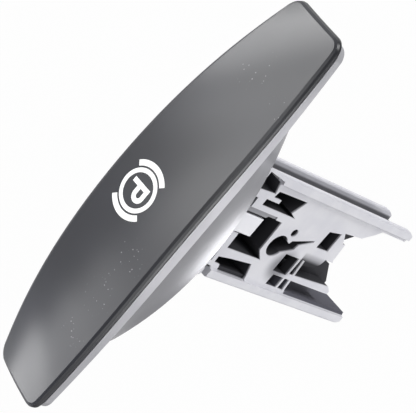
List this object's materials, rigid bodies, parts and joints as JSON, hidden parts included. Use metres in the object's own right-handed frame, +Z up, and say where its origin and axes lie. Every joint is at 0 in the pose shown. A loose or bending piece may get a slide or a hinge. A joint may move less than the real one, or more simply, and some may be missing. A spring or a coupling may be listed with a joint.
{
  "type": "parking brake release handle",
  "caption": "Wide twisted pull handle with a dark face cover and silver band, a hollow fairing behind it and a ribbed slide carriage with C-rails that seats the release cable's end.",
  "frame": {"origin": "on the axis of the slide, at the plane where the carriage leaves the fairing", "axes": "+Y along the slide towards its free end, -Y is the side that the face looks to, +X to the viewer's right, +Z up"},
  "size_m": [0.096, 0.0855, 0.0237],
  "materials": {
    "face_cover": "anthracite soft-touch coating, satin",
    "trim_frame": "silver lacquer on moulded plastic, satin",
    "grip_body": "silver-grey lacquer on moulded plastic, satin",
    "slide_carriage": "light grey moulded acetal, fine grain"
  },
  "bodies": {
    "root": {"face_cover": "face_cover", "trim_frame": "trim_frame", "grip_body": "grip_body", "slide_carriage": "slide_carriage"}
  },
  "joints": []
}
